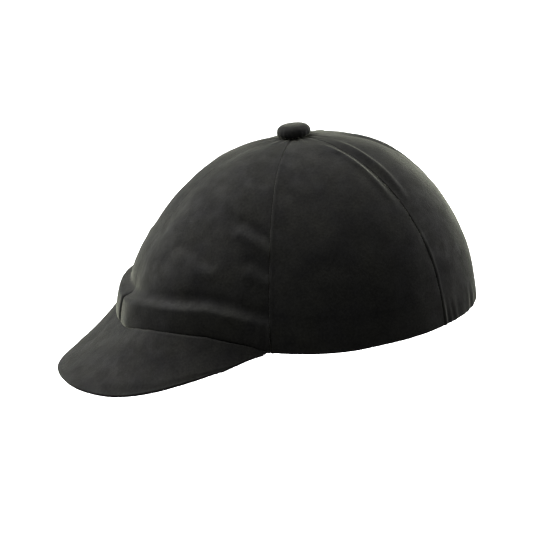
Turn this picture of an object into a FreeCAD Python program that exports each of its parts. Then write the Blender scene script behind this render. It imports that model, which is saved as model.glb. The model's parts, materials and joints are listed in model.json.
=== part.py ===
import FreeCAD, Part
import math
import os
import Sketcher
from FreeCAD import Placement, Rotation, Vector

# Riding helmet: a hard hat in a velvet slip-on cover, with a sewn peak and a folded-in harness.
# Lengths are millimetres and angles are degrees. The hat is drawn with its front at -X, its left at -Y and
# its rim plane at z = 0. SEAT then tips it onto the ground, where the peak and the rear rim touch.

SIZES = (
    ("front_reach", "142", "brow distance from the hat axis"),
    ("rear_reach", "111", "nape distance from the hat axis"),
    ("half_width", "106.5", "side distance from the hat axis"),
    ("crown_height", "124", "crown top above the rim plane"),
    ("brow_rise", "22", "how fast the front rim arches up from the side"),
    ("brow_limit", "11.5", "height where the arch of the front rim levels off"),
    ("brow_bend", "4", "how sharply the arch levels off"),
    ("outline_power", "2.2", "superellipse power of the rim outline"),
    ("profile_power", "2.24", "superellipse power of the upright profile"),
    ("front_fullness", "1.2", "height power of the front profile"),
    ("rear_fullness", "2.2", "height power of the rear profile"),
    ("apex_lead", "4.8", "how far the crown top leans forward"),
    ("top_fraction", "0.9992", "height share where the gores end"),
    ("hem_drop", "1.7", "cover edge below the rim plane"),
    ("velvet_thick", "1.4", "velvet and its backing"),
    ("seam_gap", "0.05", "half angle between neighbouring gores"),
    ("side_seam", "57.2", "azimuth of the seam in front of the ear"),
    ("rear_seam", "123.2", "azimuth of the seam behind the ear"),
    ("shell_outer", "1.9", "shell face under the cover surface"),
    ("shell_inner", "4.7", "inside face of the shell"),
    ("shell_foot", "0.2", "shell edge above the rim plane"),
    ("tab_outer", "4.9", "outer face of an anchor tab"),
    ("tab_inner", "6.5", "inner face of an anchor tab"),
    ("tab_half_angle", "4.2", "half the azimuth that a tab covers"),
    ("tab_rise", "32", "tab height inside the shell"),
    ("tab_foot", "0.9", "tab end above the rim plane"),
    ("tab_azimuth", "70", "azimuth of the front tabs, rear tabs mirror it"),
    ("rivet_rise", "20", "rivet height above the rim plane"),
    ("rivet_radius", "2.4", "rivet shank"),
    ("rivet_play", "0.1", "clearance round a rivet"),
    ("rivet_outer", "2.1", "outer end of a rivet"),
    ("rivet_inner", "7.9", "inner end of a rivet"),
    ("washer_radius", "5", "washer outline"),
    ("washer_outer", "6.8", "outer face of a washer"),
    ("washer_inner", "7.6", "inner face of a washer"),
    ("pocket_radius", "6.5", "foam pocket round a washer"),
    ("pocket_inner", "9.5", "floor of the foam pocket"),
    ("foam_outer", "6.8", "outer face of the foam"),
    ("foam_inner", "23.8", "inner face of the foam"),
    ("foam_foot", "1", "foam edge above the rim plane"),
    ("lining_outer", "24.1", "outer face of the lining cloth"),
    ("lining_inner", "24.9", "inner face of the lining cloth"),
    ("lining_foot", "1.5", "lining edge above the rim plane"),
    ("pad_outer", "25.2", "wall side of a comfort pad"),
    ("pad_inner", "29.5", "head side of a comfort pad"),
    ("pad_foot", "3", "pad edge above the rim plane"),
    ("pad_head", "34", "top edge of the band pads"),
    ("crown_pad_low", "0.78", "height share at the crown pad's edge"),
    ("crown_pad_high", "0.975", "height share at the crown pad's middle"),
    ("front_pad_end", "50", "azimuth where the front pad ends"),
    ("side_pad_start", "57", "azimuth where a side pad starts"),
    ("side_pad_end", "118", "azimuth where a side pad ends"),
    ("rear_pad_start", "125", "azimuth where the rear pad starts"),
    ("facing_outer", "1.5", "outer edge of the turned-under hem"),
    ("facing_inner", "4.5", "inner edge of the turned-under hem"),
    ("facing_top", "-0.9", "upper face of the hem facing"),
    ("elastic_outer", "1.7", "outer edge of the hem elastic"),
    ("elastic_inner", "4.2", "inner edge of the hem elastic"),
    ("elastic_foot", "-0.8", "lower face of the hem elastic"),
    ("elastic_top", "-0.2", "upper face of the hem elastic"),
    ("button_radius", "11.5", "crown button outline"),
    ("button_height", "8.6", "crown button above the crown"),
    ("button_skin", "1.2", "velvet over the button former"),
    ("button_lift", "0.35", "gap between the button and the crown"),
    ("former_play", "0.15", "gap between the former and its velvet"),
    ("former_radius", "=button_radius - button_skin - former_play", "button former outline"),
    ("former_height", "=button_height - button_skin - former_play", "button former height"),
    ("hollow_radius", "=button_radius - button_skin", "inside of the button velvet"),
    ("hollow_height", "=button_height - button_skin", "inside height of the button velvet"),
    ("shank_radius", "1.6", "sewn shank of the button"),
    ("patch_radius", "5", "crown patch the button is sewn to"),
    ("patch_thick", "1.1", "crown patch thickness"),
    ("patch_drop", "1.3", "crown patch floor below the crown"),
    ("shank_length", "=patch_drop - patch_thick + button_lift - 0.1", "shank from patch to former"),
    ("peak_tip_reach", "187.6", "peak tip distance from the hat axis"),
    ("peak_end_reach", "67", "peak end distance from the hat axis"),
    ("peak_end_side", "99.7", "peak end distance from the centre plane"),
    ("peak_root_azimuth", "54.5", "azimuth where the peak root ends"),
    ("peak_edge_sweep", "84", "half sweep of the peak edge"),
    ("peak_root_play", "2.4", "peak root clear of the gores at the front"),
    ("peak_end_play", "1.7", "added clearance at the peak's ends"),
    ("peak_root_high", "1", "peak root above the rim edge"),
    ("peak_tip_height", "-16.4", "edge height at the tip"),
    ("peak_end_height", "2.4", "edge height at the ends"),
    ("peak_side_sag", "6.9", "how far the edge droops between tip and ends"),
    ("peak_crown", "-4.2", "rise of the peak's middle over its chord, negative for a hollow"),
    ("peak_core_half", "0.9", "half the peak core"),
    ("peak_skin_gap", "0.1", "gap between the core and its cloths"),
    ("peak_skin", "1.2", "cloth on each side of the core"),
    ("hinge_side", "95.8", "strap hinge distance from the centre plane"),
    ("hinge_drop", "0.4", "strap hinge below the rim plane"),
    ("flap_slope", "1", "upward slope of the folded straps towards the middle"),
    ("web_thick", "1.6", "webbing thickness"),
    ("web_half", "8", "half the webbing width measured along the hat"),
    ("leg_root_x", "-36", "root of a front strap"),
    ("leg_end_x", "-9.2", "slider end of a front strap"),
    ("leg_root_u", "2.2", "root edge from the hinge"),
    ("leg_end_u", "70", "slider end from the hinge"),
    ("leg_root_outer", "=leg_root_x - web_half", "outer root corner"),
    ("leg_root_inner", "=leg_root_x + web_half", "inner root corner"),
    ("leg_end_outer", "=leg_end_x - web_half", "outer end corner"),
    ("leg_end_inner", "=leg_end_x + web_half", "inner end corner"),
    ("slider_start", "62", "slider face from the strap hinge"),
    ("slider_half", "23", "half the slider width"),
    ("slider_depth", "24", "slider length across the hat"),
    ("slider_thick", "5", "slider thickness"),
    ("slider_slot_half", "21", "half the strap slot"),
    ("slider_slot_high", "2.4", "strap slot height"),
    ("slider_slot_deep", "9", "strap slot depth"),
    ("ear_inner", "8.2", "inner face of a bar ear"),
    ("ear_outer", "10.4", "outer face of a bar ear"),
    ("ear_end", "27.9", "bar ear end from the slider face"),
    ("bar_centre", "26.7", "strap bar from the slider face"),
    ("bar_radius", "1", "strap bar"),
    ("bar_length", "18.6", "strap bar between the ears"),
    ("loop_radius", "2.3", "outside of the chin strap loop"),
    ("loop_bore", "1.1", "inside of the chin strap loop"),
    ("chin_half", "7.5", "half the chin strap width"),
    ("chin_width", "=2 * chin_half", "chin strap width"),
    ("chin_drop", "4.1", "chin strap centre below its hinge"),
    ("run_top", "=chin_drop - web_thick / 2", "upper face of the chin strap's flat run"),
    ("run_floor", "=chin_drop + web_thick / 2", "lower face of the chin strap's flat run"),
    ("fold_top", "1.3", "upright fold's start inside the loop"),
    ("chin_run_left", "64", "left chin strap length from its hinge"),
    ("chin_run_right", "57", "right chin strap length from its hinge"),
    ("fold_half", "0.8", "half the upright part of the fold"),
    ("buckle_half", "12", "half the buckle width"),
    ("buckle_thick", "6.4", "buckle thickness"),
    ("buckle_raise", "0.85", "buckle centre above the chin strap"),
    ("socket_start", "49.5", "socket face from the chin hinge"),
    ("socket_length", "30", "socket length"),
    ("socket_mouth_half", "9.5", "half the tongue opening"),
    ("socket_mouth_high", "2.5", "tongue opening height"),
    ("socket_mouth_deep", "17", "tongue opening depth"),
    ("mouth_raise", "1.3", "tongue opening above the socket centre"),
    ("web_slot_half", "7.9", "half the buckle's strap slot"),
    ("web_slot_low", "=-buckle_raise - 1", "floor of the buckle's strap slot"),
    ("web_slot_top", "=1 - buckle_raise", "roof of the buckle's strap slot"),
    ("mouth_low", "=mouth_raise - socket_mouth_high / 2", "floor of the tongue opening"),
    ("mouth_top", "=mouth_raise + socket_mouth_high / 2", "roof of the tongue opening"),
    ("socket_slot_deep", "24", "socket's strap slot depth"),
    ("window_half", "13", "window cut past both sides of the socket"),
    ("window_start", "17", "side window's strap end"),
    ("window_end", "25", "side window's mouth end"),
    ("tongue_start", "49.5", "tongue face from the chin hinge"),
    ("tongue_base", "13", "tongue base length"),
    ("tongue_slot_deep", "8.5", "tongue base's strap slot depth"),
    ("guide_half", "3", "half the middle guide"),
    ("guide_start", "12", "guide root inside the base"),
    ("guide_end", "27", "guide tip from the tongue face"),
    ("guide_thick", "2.2", "guide and prong thickness"),
    ("prong_inner", "5.6", "inner face of a prong"),
    ("prong_outer", "8", "outer face of a prong"),
    ("prong_hook", "9.2", "outer face of a prong's hook"),
    ("prong_gap", "0.4", "prong root clear of the base"),
    ("prong_length", "15", "prong length"),
    ("prong_step", "9", "hook start from the prong's root"),
    ("seat_pitch", "3.496", "tip of the hat onto peak and rear rim"),
    ("seat_lift", "8.468", "rim plane centre above the ground"),
    ("seat_shift", "38.758", "hat axis behind the middle of the whole"),
)

doc = FreeCAD.newDocument("riding_helmet")
sheet = doc.addObject("Spreadsheet::Sheet", "sizes")
for row, (alias, value, note) in enumerate(SIZES, start=1):
    sheet.set(f"A{row}", alias)
    sheet.set(f"B{row}", value)
    sheet.set(f"C{row}", note)
    sheet.setAlias(f"B{row}", alias)
doc.recompute()


S = {alias: float(sheet.get(alias)) for alias, _, _ in SIZES}
SEAT = Placement(
    Vector(S["seat_shift"], 0, S["seat_lift"]),
    Rotation(Vector(0, 1, 0), S["seat_pitch"]),
)
GRID_ROUND = 25
GRID_UP = 14
nodes = []


def keep(shape_object, name, local=None):
    """Names a finished piece and seats it on the ground with the hat."""
    shape_object.Label = name
    shape_object.Placement = SEAT.multiply(local or Placement())
    nodes.append(shape_object)
    return shape_object


def solid_node(name, shape):
    feature = doc.addObject("Part::Feature", name)
    feature.Shape = shape
    return keep(feature, name)


# ---- the dome and the layers that follow it ----


def dome(azimuth, fraction, inset):
    """A point of the hat wall: azimuth from the front over the left, height share, depth under the cover."""
    along, across = math.cos(azimuth), math.sin(azimuth)
    reach = (S["front_reach"] if along > 0 else S["rear_reach"]) - inset
    width = S["half_width"] - inset
    power = S["outline_power"]
    radius = ((abs(along) / reach) ** power + (abs(across) / width) ** power) ** (-1 / power)
    forward = (1 + along) / 2
    fullness = S["front_fullness"] * forward + S["rear_fullness"] * (1 - forward)
    shrink = (1 - max(fraction, 0) ** fullness) ** (1 / S["profile_power"])
    rise = S["brow_rise"] * max(along, 0) ** 2
    bend = S["brow_bend"]
    brow = rise * (1 + (rise / S["brow_limit"]) ** bend) ** (-1 / bend)
    return Vector(
        -(radius * shrink * along + S["apex_lead"] * fraction**2),
        -radius * shrink * across,
        (S["crown_height"] - inset) * fraction + brow * (1 - fraction),
    )


def surface(point_at, u_span, v_span, u_count, v_count):
    rows = []
    for i in range(u_count):
        u = u_span[0] + (u_span[1] - u_span[0]) * i / (u_count - 1)
        row = []
        for j in range(v_count):
            v = v_span[0] + (v_span[1] - v_span[0]) * j / (v_count - 1)
            row.append(point_at(u, v))
        rows.append(row)
    patch = Part.BSplineSurface()
    patch.interpolate(rows)
    return patch


def closed_solid(faces):
    shell = Part.Shell(faces)
    shell.sewShape()
    return Part.Solid(shell)


def slab(outer, inner):
    """The solid between two surfaces over the same span."""
    faces = [outer.toShape(), inner.toShape()]
    u0, u1, v0, v1 = outer.bounds()
    p0, p1, q0, q1 = inner.bounds()
    sides = (
        (outer.uIso(u0), inner.uIso(p0)),
        (outer.uIso(u1), inner.uIso(p1)),
        (outer.vIso(v0), inner.vIso(q0)),
        (outer.vIso(v1), inner.vIso(q1)),
    )
    for one, other in sides:
        faces.append(Part.makeRuledSurface(one.toShape(), other.toShape()))
    return closed_solid(faces)


def layer(azimuths, fractions, insets, count=GRID_ROUND):
    """A piece of the wall between two azimuths in degrees, two height shares and two depths."""
    u_span = [math.radians(a) for a in azimuths]
    v_span = [math.asin(f) for f in fractions]
    faces = []
    for inset in insets:
        faces.append(
            surface(lambda u, v: dome(u, math.sin(v), inset), u_span, v_span, count, GRID_UP)
        )
    return slab(*faces)


def mirrored(shape):
    return shape.mirror(Vector(0, 0, 0), Vector(0, 1, 0))


def whole(half):
    """A half that ends in the centre plane, joined to its mirror image."""
    return half.fuse(mirrored(half))


def share(height, inset=0.0):
    return height / (S["crown_height"] - inset)


def ring(section):
    """A band along the whole rim; section lists its corners as (depth, height over the rim edge)."""
    edges = []
    for inset, height in section:
        points = []
        for i in range(GRID_ROUND):
            azimuth = math.pi * i / (GRID_ROUND - 1)
            points.append(dome(azimuth, share(height, inset), inset))
        curve = Part.BSplineCurve()
        curve.interpolate(points)
        edges.append(curve.toShape())
    faces = []
    for one, other in zip(edges, edges[1:] + edges[:1]):
        faces.append(Part.makeRuledSurface(one, other))
    for end in (0, -1):
        corners = [edge.Vertexes[end].Point for edge in edges]
        faces.append(Part.Face(Part.makePolygon(corners + corners[:1])))
    return whole(closed_solid(faces))


def wall_axis(azimuth, height):
    """A point on the cover surface and the outward direction there."""
    angle, fraction, step = math.radians(azimuth), share(height), 0.001
    here = dome(angle, fraction, 0)
    round_ = dome(angle + step, fraction, 0) - here
    upward = dome(angle, fraction + step, 0) - here
    outward = round_.cross(upward)
    outward.normalize()
    if outward.dot(Vector(here.x, here.y, 0)) < 0:
        outward = outward * -1
    return here, outward


def plug(azimuth, radius, outer, inner):
    """A short cylinder across the wall at rivet height, between two depths."""
    here, outward = wall_axis(azimuth, S["rivet_rise"])
    start = here - outward * inner
    return Part.makeCylinder(radius, inner - outer, start, outward)


TABS = {
    "left_front": S["tab_azimuth"],
    "left_rear": 180 - S["tab_azimuth"],
    "right_front": -S["tab_azimuth"],
    "right_rear": S["tab_azimuth"] - 180,
}

top = S["top_fraction"]
rim = share(-S["hem_drop"])

# cover gores
seams = (0, S["side_seam"], S["rear_seam"], 180)
for place, start, end in zip(("front", "side", "rear"), seams, seams[1:]):
    gore = layer(
        (start + S["seam_gap"], end - S["seam_gap"]),
        (rim, top),
        (0, S["velvet_thick"]),
    )
    solid_node(f"gore_{place}_left", gore)
    solid_node(f"gore_{place}_right", mirrored(gore))

# turned-under hem and its elastic
solid_node(
    "hem_facing",
    ring(
        (
            (S["facing_outer"], -S["hem_drop"]),
            (S["facing_inner"], -S["hem_drop"]),
            (S["facing_inner"], S["facing_top"]),
            (S["facing_outer"], S["facing_top"]),
        )
    ),
)
solid_node(
    "hem_elastic",
    ring(
        (
            (S["elastic_outer"], S["elastic_foot"]),
            (S["elastic_inner"], S["elastic_foot"]),
            (S["elastic_inner"], S["elastic_top"]),
            (S["elastic_outer"], S["elastic_top"]),
        )
    ),
)

# outer shell, foam, lining
shell = whole(layer((0, 180), (share(S["shell_foot"]), top), (S["shell_outer"], S["shell_inner"])))
foam = whole(layer((0, 180), (share(S["foam_foot"]), top), (S["foam_outer"], S["foam_inner"])))
lining = whole(
    layer((0, 180), (share(S["lining_foot"]), top), (S["lining_outer"], S["lining_inner"]))
)

# anchor tabs, rivets and washers
rivets = []
washers = []
bore = S["rivet_radius"] + S["rivet_play"]
for corner, azimuth in TABS.items():
    hole = plug(azimuth, bore, 0, S["pocket_inner"])
    tab = layer(
        (azimuth - S["tab_half_angle"], azimuth + S["tab_half_angle"]),
        (share(S["tab_foot"]), share(S["tab_rise"])),
        (S["tab_outer"], S["tab_inner"]),
        count=7,
    )
    solid_node(f"anchor_tab_{corner}", tab.cut(hole))
    shell = shell.cut(hole)
    pocket = plug(azimuth, S["pocket_radius"], S["shell_inner"], S["pocket_inner"])
    foam = foam.cut(pocket)
    rivets.append(plug(azimuth, S["rivet_radius"], S["rivet_outer"], S["rivet_inner"]))
    washer = plug(azimuth, S["washer_radius"], S["washer_outer"], S["washer_inner"])
    washers.append(washer.cut(hole))
solid_node("outer_shell", shell)
solid_node("foam_liner", foam)
solid_node("inner_lining", lining)
solid_node("anchor_rivets", Part.Compound(rivets))
solid_node("anchor_washers", Part.Compound(washers))

# comfort pads
band = (share(S["pad_foot"], S["pad_outer"]), share(S["pad_head"], S["pad_outer"]))
pad_depth = (S["pad_outer"], S["pad_inner"])
side_pad = layer((S["side_pad_start"], S["side_pad_end"]), band, pad_depth)
solid_node("front_pad", layer((-S["front_pad_end"], S["front_pad_end"]), band, pad_depth))
solid_node("left_pad", side_pad)
solid_node("right_pad", mirrored(side_pad))
solid_node("rear_pad", layer((S["rear_pad_start"], 360 - S["rear_pad_start"]), band, pad_depth))
crown_span = (S["crown_pad_low"], S["crown_pad_high"])
solid_node("crown_pad", whole(layer((0, 180), crown_span, pad_depth)))


# ---- crown button ----


def bound(kind, name, formulas):
    """A primitive whose sizes follow the sheet."""
    feature = doc.addObject(kind, name)
    for prop, formula in formulas.items():
        feature.setExpression(prop, formula)
    return feature


def half_ball(name, radius, height):
    return bound(
        "Part::Ellipsoid",
        name,
        {"Radius2": f"sizes.{radius}", "Radius3": f"sizes.{radius}", "Radius1": f"sizes.{height}", "Angle1": "0"},
    )


crown_x = -S["apex_lead"]
on_crown = Vector(crown_x, 0, S["crown_height"] + S["button_lift"])
cap = doc.addObject("Part::Cut", "crown_button_cap")
cap.Base = half_ball("button_outside", "button_radius", "button_height")
cap.Tool = half_ball("button_hollow", "hollow_radius", "hollow_height")
keep(cap, "crown_button_cap", Placement(on_crown, Rotation()))
keep(
    half_ball("crown_button_former", "former_radius", "former_height"),
    "crown_button_former",
    Placement(on_crown, Rotation()),
)
patch_floor = Vector(crown_x, 0, S["crown_height"] - S["patch_drop"])
keep(
    bound(
        "Part::Cylinder",
        "crown_patch",
        {"Radius": "sizes.patch_radius", "Height": "sizes.patch_thick"},
    ),
    "crown_patch",
    Placement(patch_floor, Rotation()),
)
keep(
    bound(
        "Part::Cylinder",
        "crown_button_shank",
        {"Radius": "sizes.shank_radius", "Height": "sizes.shank_length"},
    ),
    "crown_button_shank",
    Placement(patch_floor + Vector(0, 0, S["patch_thick"] + 0.05), Rotation()),
)


# ---- peak ----


def peak_middle(across, out):
    """Middle surface of the peak: across runs -1 to 1 over its width, out runs 0 to 1 from root to edge."""
    azimuth = across * math.radians(S["peak_root_azimuth"])
    play = S["peak_root_play"] + S["peak_end_play"] * across**2
    root = dome(azimuth, 0, -play) + Vector(0, 0, S["peak_root_high"])
    turn = across * math.radians(S["peak_edge_sweep"])
    rise = S["peak_end_height"] + (S["peak_tip_height"] - S["peak_end_height"]) * math.cos(turn) ** 2
    edge = Vector(
        -(S["peak_end_reach"] + (S["peak_tip_reach"] - S["peak_end_reach"]) * math.cos(turn)),
        -S["peak_end_side"] * math.sin(turn),
        rise - S["peak_side_sag"] * math.sin(2 * turn) ** 2,
    )
    middle = root + (edge - root) * out
    return middle + Vector(0, 0, 4 * S["peak_crown"] * math.cos(turn) * out * (1 - out))


def peak_point(across, out, offset):
    step = 0.002
    here = peak_middle(across, out)
    side = peak_middle(across + step, out) - peak_middle(across - step, out)
    ahead = peak_middle(across, out + step) - peak_middle(across, out - step)
    normal = ahead.cross(side)
    normal.normalize()
    return here + normal * offset


def peak_layer(low, high):
    faces = []
    for offset in (low, high):
        faces.append(
            surface(lambda u, v: peak_point(u, v, offset), (-1, 1), (0, 1), GRID_ROUND, GRID_UP)
        )
    return slab(*faces)


core = S["peak_core_half"]
skin_start = core + S["peak_skin_gap"]
skin_end = skin_start + S["peak_skin"]
solid_node("peak_core", peak_layer(-core, core))
solid_node("peak_top_velvet", peak_layer(skin_start, skin_end))
solid_node("peak_lining", peak_layer(-skin_end, -skin_start))


# ---- harness ----


def origin_plane(body, role):
    for feature in body.Origin.OriginFeatures:
        if feature.Role == role:
            return feature
    raise ValueError(role)


def sketch_on(body, role, name):
    sketch = body.newObject("Sketcher::SketchObject", name)
    sketch.AttachmentSupport = [(origin_plane(body, role), "")]
    sketch.MapMode = "FlatFace"
    return sketch


def outline(sketch, corners):
    """A closed polygon; each corner is an x and a y, given as (sheet name, sign), or None for zero."""
    values = []
    for corner in corners:
        values.append([S[pair[0]] * pair[1] if pair else 0 for pair in corner])
    points = [Vector(x, y, 0) for x, y in values]
    count = len(points)
    for i in range(count):
        sketch.addGeometry(Part.LineSegment(points[i], points[(i + 1) % count]), False)
    for i in range(count):
        sketch.addConstraint(Sketcher.Constraint("Coincident", i, 2, (i + 1) % count, 1))
    for i, corner in enumerate(corners):
        for kind, axis, pair, value in zip(("DistanceX", "DistanceY"), (-2, -1), corner, values[i]):
            if pair is None:
                sketch.addConstraint(Sketcher.Constraint("PointOnObject", i, 1, axis))
                continue
            index = sketch.addConstraint(Sketcher.Constraint(kind, i, 1, value))
            sketch.setExpression(f"Constraints[{index}]", f"{pair[1]} * sizes.{pair[0]}")


def extrude(body, sketch, length, kind="PartDesign::Pad", midplane=True, reverse=False):
    feature = body.newObject(kind, f"{sketch.Name}_{kind[12:].lower()}")
    feature.Profile = sketch
    feature.setExpression("Length", f"sizes.{length}")
    feature.Midplane = midplane
    feature.Reversed = reverse
    sketch.Visibility = False
    body.Tip = feature
    return feature


def box(half, low, high):
    """Corners of a rectangle symmetric in x between two y edges, each a (name, sign)."""
    return (
        ((half, -1), low),
        ((half, 1), low),
        ((half, 1), high),
        ((half, -1), high),
    )


def new_body(name):
    return doc.addObject("PartDesign::Body", name)


SIDES = {"left": Rotation(), "right": Rotation(Vector(0, 0, 1), 180)}
FLIP = Rotation(Vector(0, 1, 0), 180)
flap_base = Vector(0, -S["hinge_side"], -S["hinge_drop"])
flap_turn = Rotation(Vector(1, 0, 0), S["flap_slope"])
flap = Placement(flap_base, flap_turn)
slider_spot = flap.multiply(Placement(Vector(0, S["slider_start"], 0), Rotation()))
bar_spot = flap.multVec(Vector(0, S["slider_start"] + S["bar_centre"], 0))
chin_spot = Placement(bar_spot, flap_turn)


def side_strap(name):
    """One leg of the V: webbing from the rim to the slider, slanted in plan."""
    body = new_body(name)
    sketch = sketch_on(body, "XY_Plane", f"{name}_plan")
    outline(
        sketch,
        (
            (("leg_root_outer", 1), ("leg_root_u", 1)),
            (("leg_root_inner", 1), ("leg_root_u", 1)),
            (("leg_end_inner", 1), ("leg_end_u", 1)),
            (("leg_end_outer", 1), ("leg_end_u", 1)),
        ),
    )
    extrude(body, sketch, "web_thick")
    return body


def slider(name):
    """Moulded slider: strap slot at its outer face, and a bar between two ears for the chin strap."""
    body = new_body(name)
    plan = sketch_on(body, "XY_Plane", f"{name}_plan")
    outline(
        plan,
        (
            (("slider_half", -1), None),
            (("slider_half", 1), None),
            (("slider_half", 1), ("slider_depth", 1)),
            (("ear_outer", 1), ("slider_depth", 1)),
            (("ear_outer", 1), ("ear_end", 1)),
            (("ear_inner", 1), ("ear_end", 1)),
            (("ear_inner", 1), ("slider_depth", 1)),
            (("ear_inner", -1), ("slider_depth", 1)),
            (("ear_inner", -1), ("ear_end", 1)),
            (("ear_outer", -1), ("ear_end", 1)),
            (("ear_outer", -1), ("slider_depth", 1)),
            (("slider_half", -1), ("slider_depth", 1)),
        ),
    )
    extrude(body, plan, "slider_thick")
    slot = sketch_on(body, "XY_Plane", f"{name}_slot")
    outline(slot, box("slider_slot_half", None, ("slider_slot_deep", 1)))
    extrude(body, slot, "slider_slot_high", "PartDesign::Pocket")
    bar = sketch_on(body, "YZ_Plane", f"{name}_bar")
    bar.addGeometry(Part.Circle(Vector(S["bar_centre"], 0, 0), Vector(0, 0, 1), S["bar_radius"]), False)
    radius = bar.addConstraint(Sketcher.Constraint("Radius", 0, S["bar_radius"]))
    bar.setExpression(f"Constraints[{radius}]", "sizes.bar_radius")
    reach = bar.addConstraint(Sketcher.Constraint("DistanceX", 0, 3, S["bar_centre"]))
    bar.setExpression(f"Constraints[{reach}]", "sizes.bar_centre")
    bar.addConstraint(Sketcher.Constraint("PointOnObject", 0, 3, -1))
    extrude(body, bar, "bar_length")
    return body


def chin_strap(name, run):
    """Chin webbing: a sewn loop round the slider bar, an upright fold and a flat run back under the straps."""
    body = new_body(name)
    fold = sketch_on(body, "YZ_Plane", f"{name}_fold")
    outline(
        fold,
        (
            (("fold_half", 1), ("fold_top", -1)),
            (("fold_half", -1), ("fold_top", -1)),
            (("fold_half", -1), ("run_top", -1)),
            ((run, -1), ("run_top", -1)),
            ((run, -1), ("run_floor", -1)),
            (("fold_half", 1), ("run_floor", -1)),
        ),
    )
    extrude(body, fold, "chin_width")
    for radius, kind in (("loop_radius", "PartDesign::Pad"), ("loop_bore", "PartDesign::Pocket")):
        circle = sketch_on(body, "YZ_Plane", f"{name}_{radius}")
        circle.addGeometry(Part.Circle(Vector(0, 0, 0), Vector(0, 0, 1), S[radius]), False)
        index = circle.addConstraint(Sketcher.Constraint("Radius", 0, S[radius]))
        circle.setExpression(f"Constraints[{index}]", f"sizes.{radius}")
        circle.addConstraint(Sketcher.Constraint("Coincident", 0, 3, -1, 1))
        extrude(body, circle, "chin_width", kind)
    return body


def cut(body, name, role, corners, length, offset=None, middle=False, reverse=False):
    """A pocket whose sketch stands off its origin plane by a sheet value."""
    sketch = sketch_on(body, role, f"{body.Name}_{name}")
    outline(sketch, corners)
    if offset:
        sketch.setExpression("AttachmentOffset.Base.z", f"sizes.{offset}")
    extrude(body, sketch, length, "PartDesign::Pocket", middle, reverse)


def upright(half, low, high):
    """A rectangle for a sketch seen from the strap side."""
    return box(half, (low, 1), (high, 1))


def socket(name):
    """Buckle socket: strap slot on one end, tongue mouth on the other, a window on each side."""
    body = new_body(name)
    plan = sketch_on(body, "XY_Plane", f"{name}_plan")
    outline(plan, box("buckle_half", None, ("socket_length", -1)))
    extrude(body, plan, "buckle_thick")
    strap = upright("web_slot_half", "web_slot_low", "web_slot_top")
    cut(body, "strap", "XZ_Plane", strap, "socket_slot_deep", reverse=True)
    mouth = upright("socket_mouth_half", "mouth_low", "mouth_top")
    cut(body, "mouth", "XZ_Plane", mouth, "socket_mouth_deep", offset="socket_length")
    window = box("window_half", ("window_start", -1), ("window_end", -1))
    cut(body, "window", "XY_Plane", window, "socket_mouth_high", offset="mouth_raise", middle=True)
    return body


def tongue(name):
    """Buckle tongue: a base with a strap slot and a flat guide between the release prongs."""
    body = new_body(name)
    plan = sketch_on(body, "XY_Plane", f"{name}_plan")
    outline(plan, box("buckle_half", None, ("tongue_base", -1)))
    extrude(body, plan, "buckle_thick")
    strap = upright("web_slot_half", "web_slot_low", "web_slot_top")
    cut(body, "strap", "XZ_Plane", strap, "tongue_slot_deep", reverse=True)
    guide = sketch_on(body, "XY_Plane", f"{name}_guide")
    outline(guide, box("guide_half", ("guide_start", -1), ("guide_end", -1)))
    guide.setExpression("AttachmentOffset.Base.z", "sizes.mouth_raise")
    extrude(body, guide, "guide_thick")
    return body


def prong(name):
    """Springy release prong with a catch on its outer side."""
    body = new_body(name)
    plan = sketch_on(body, "XY_Plane", f"{name}_plan")
    outline(
        plan,
        (
            (("prong_inner", 1), None),
            (("prong_outer", 1), None),
            (("prong_outer", 1), ("prong_step", -1)),
            (("prong_hook", 1), ("prong_step", -1)),
            (("prong_outer", 1), ("prong_length", -1)),
            (("prong_inner", 1), ("prong_length", -1)),
        ),
    )
    extrude(body, plan, "guide_thick")
    return body


def buckle_spot(start):
    height = S["buckle_raise"] - S["chin_drop"]
    return chin_spot.multiply(Placement(Vector(0, -S[start], height), Rotation()))


for side, turn in SIDES.items():
    about = Placement(Vector(), turn)
    keep(side_strap(f"{side}_front_strap"), f"{side}_front_strap", about.multiply(flap))
    rear = flap.multiply(Placement(Vector(), FLIP))
    keep(side_strap(f"{side}_rear_strap"), f"{side}_rear_strap", about.multiply(rear))
    keep(slider(f"{side}_slider"), f"{side}_slider", about.multiply(slider_spot))
    chin = chin_strap(f"{side}_chin_strap", f"chin_run_{side}")
    keep(chin, f"{side}_chin_strap", about.multiply(chin_spot))

to_right = Placement(Vector(), SIDES["right"])
tongue_spot = to_right.multiply(buckle_spot("tongue_start"))
prong_root = Vector(0, -S["tongue_base"] - S["prong_gap"], S["mouth_raise"])
keep(socket("buckle_socket"), "buckle_socket", buckle_spot("socket_start"))
keep(tongue("buckle_tongue"), "buckle_tongue", tongue_spot)
for end, flip in (("front", Rotation()), ("rear", FLIP)):
    local = tongue_spot.multiply(Placement(prong_root, flip))
    keep(prong(f"release_prong_{end}"), f"release_prong_{end}", local)

doc.recompute()
for node in nodes:
    state = set(node.State)
    if state & {"Invalid", "Error"} or node.Shape.isNull() or not node.Shape.isValid():
        raise RuntimeError(f"{node.Label} failed: {node.State}")

os.makedirs("parts", exist_ok=True)
for node in nodes:
    node.Shape.exportStep(os.path.join("parts", f"{node.Label}.step"))
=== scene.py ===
"""Looks of the riding helmet: cloth, pads, webbing, materials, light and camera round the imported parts."""

import json
import math

import bpy
import numpy as np
from mathutils import Matrix, Vector


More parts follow.
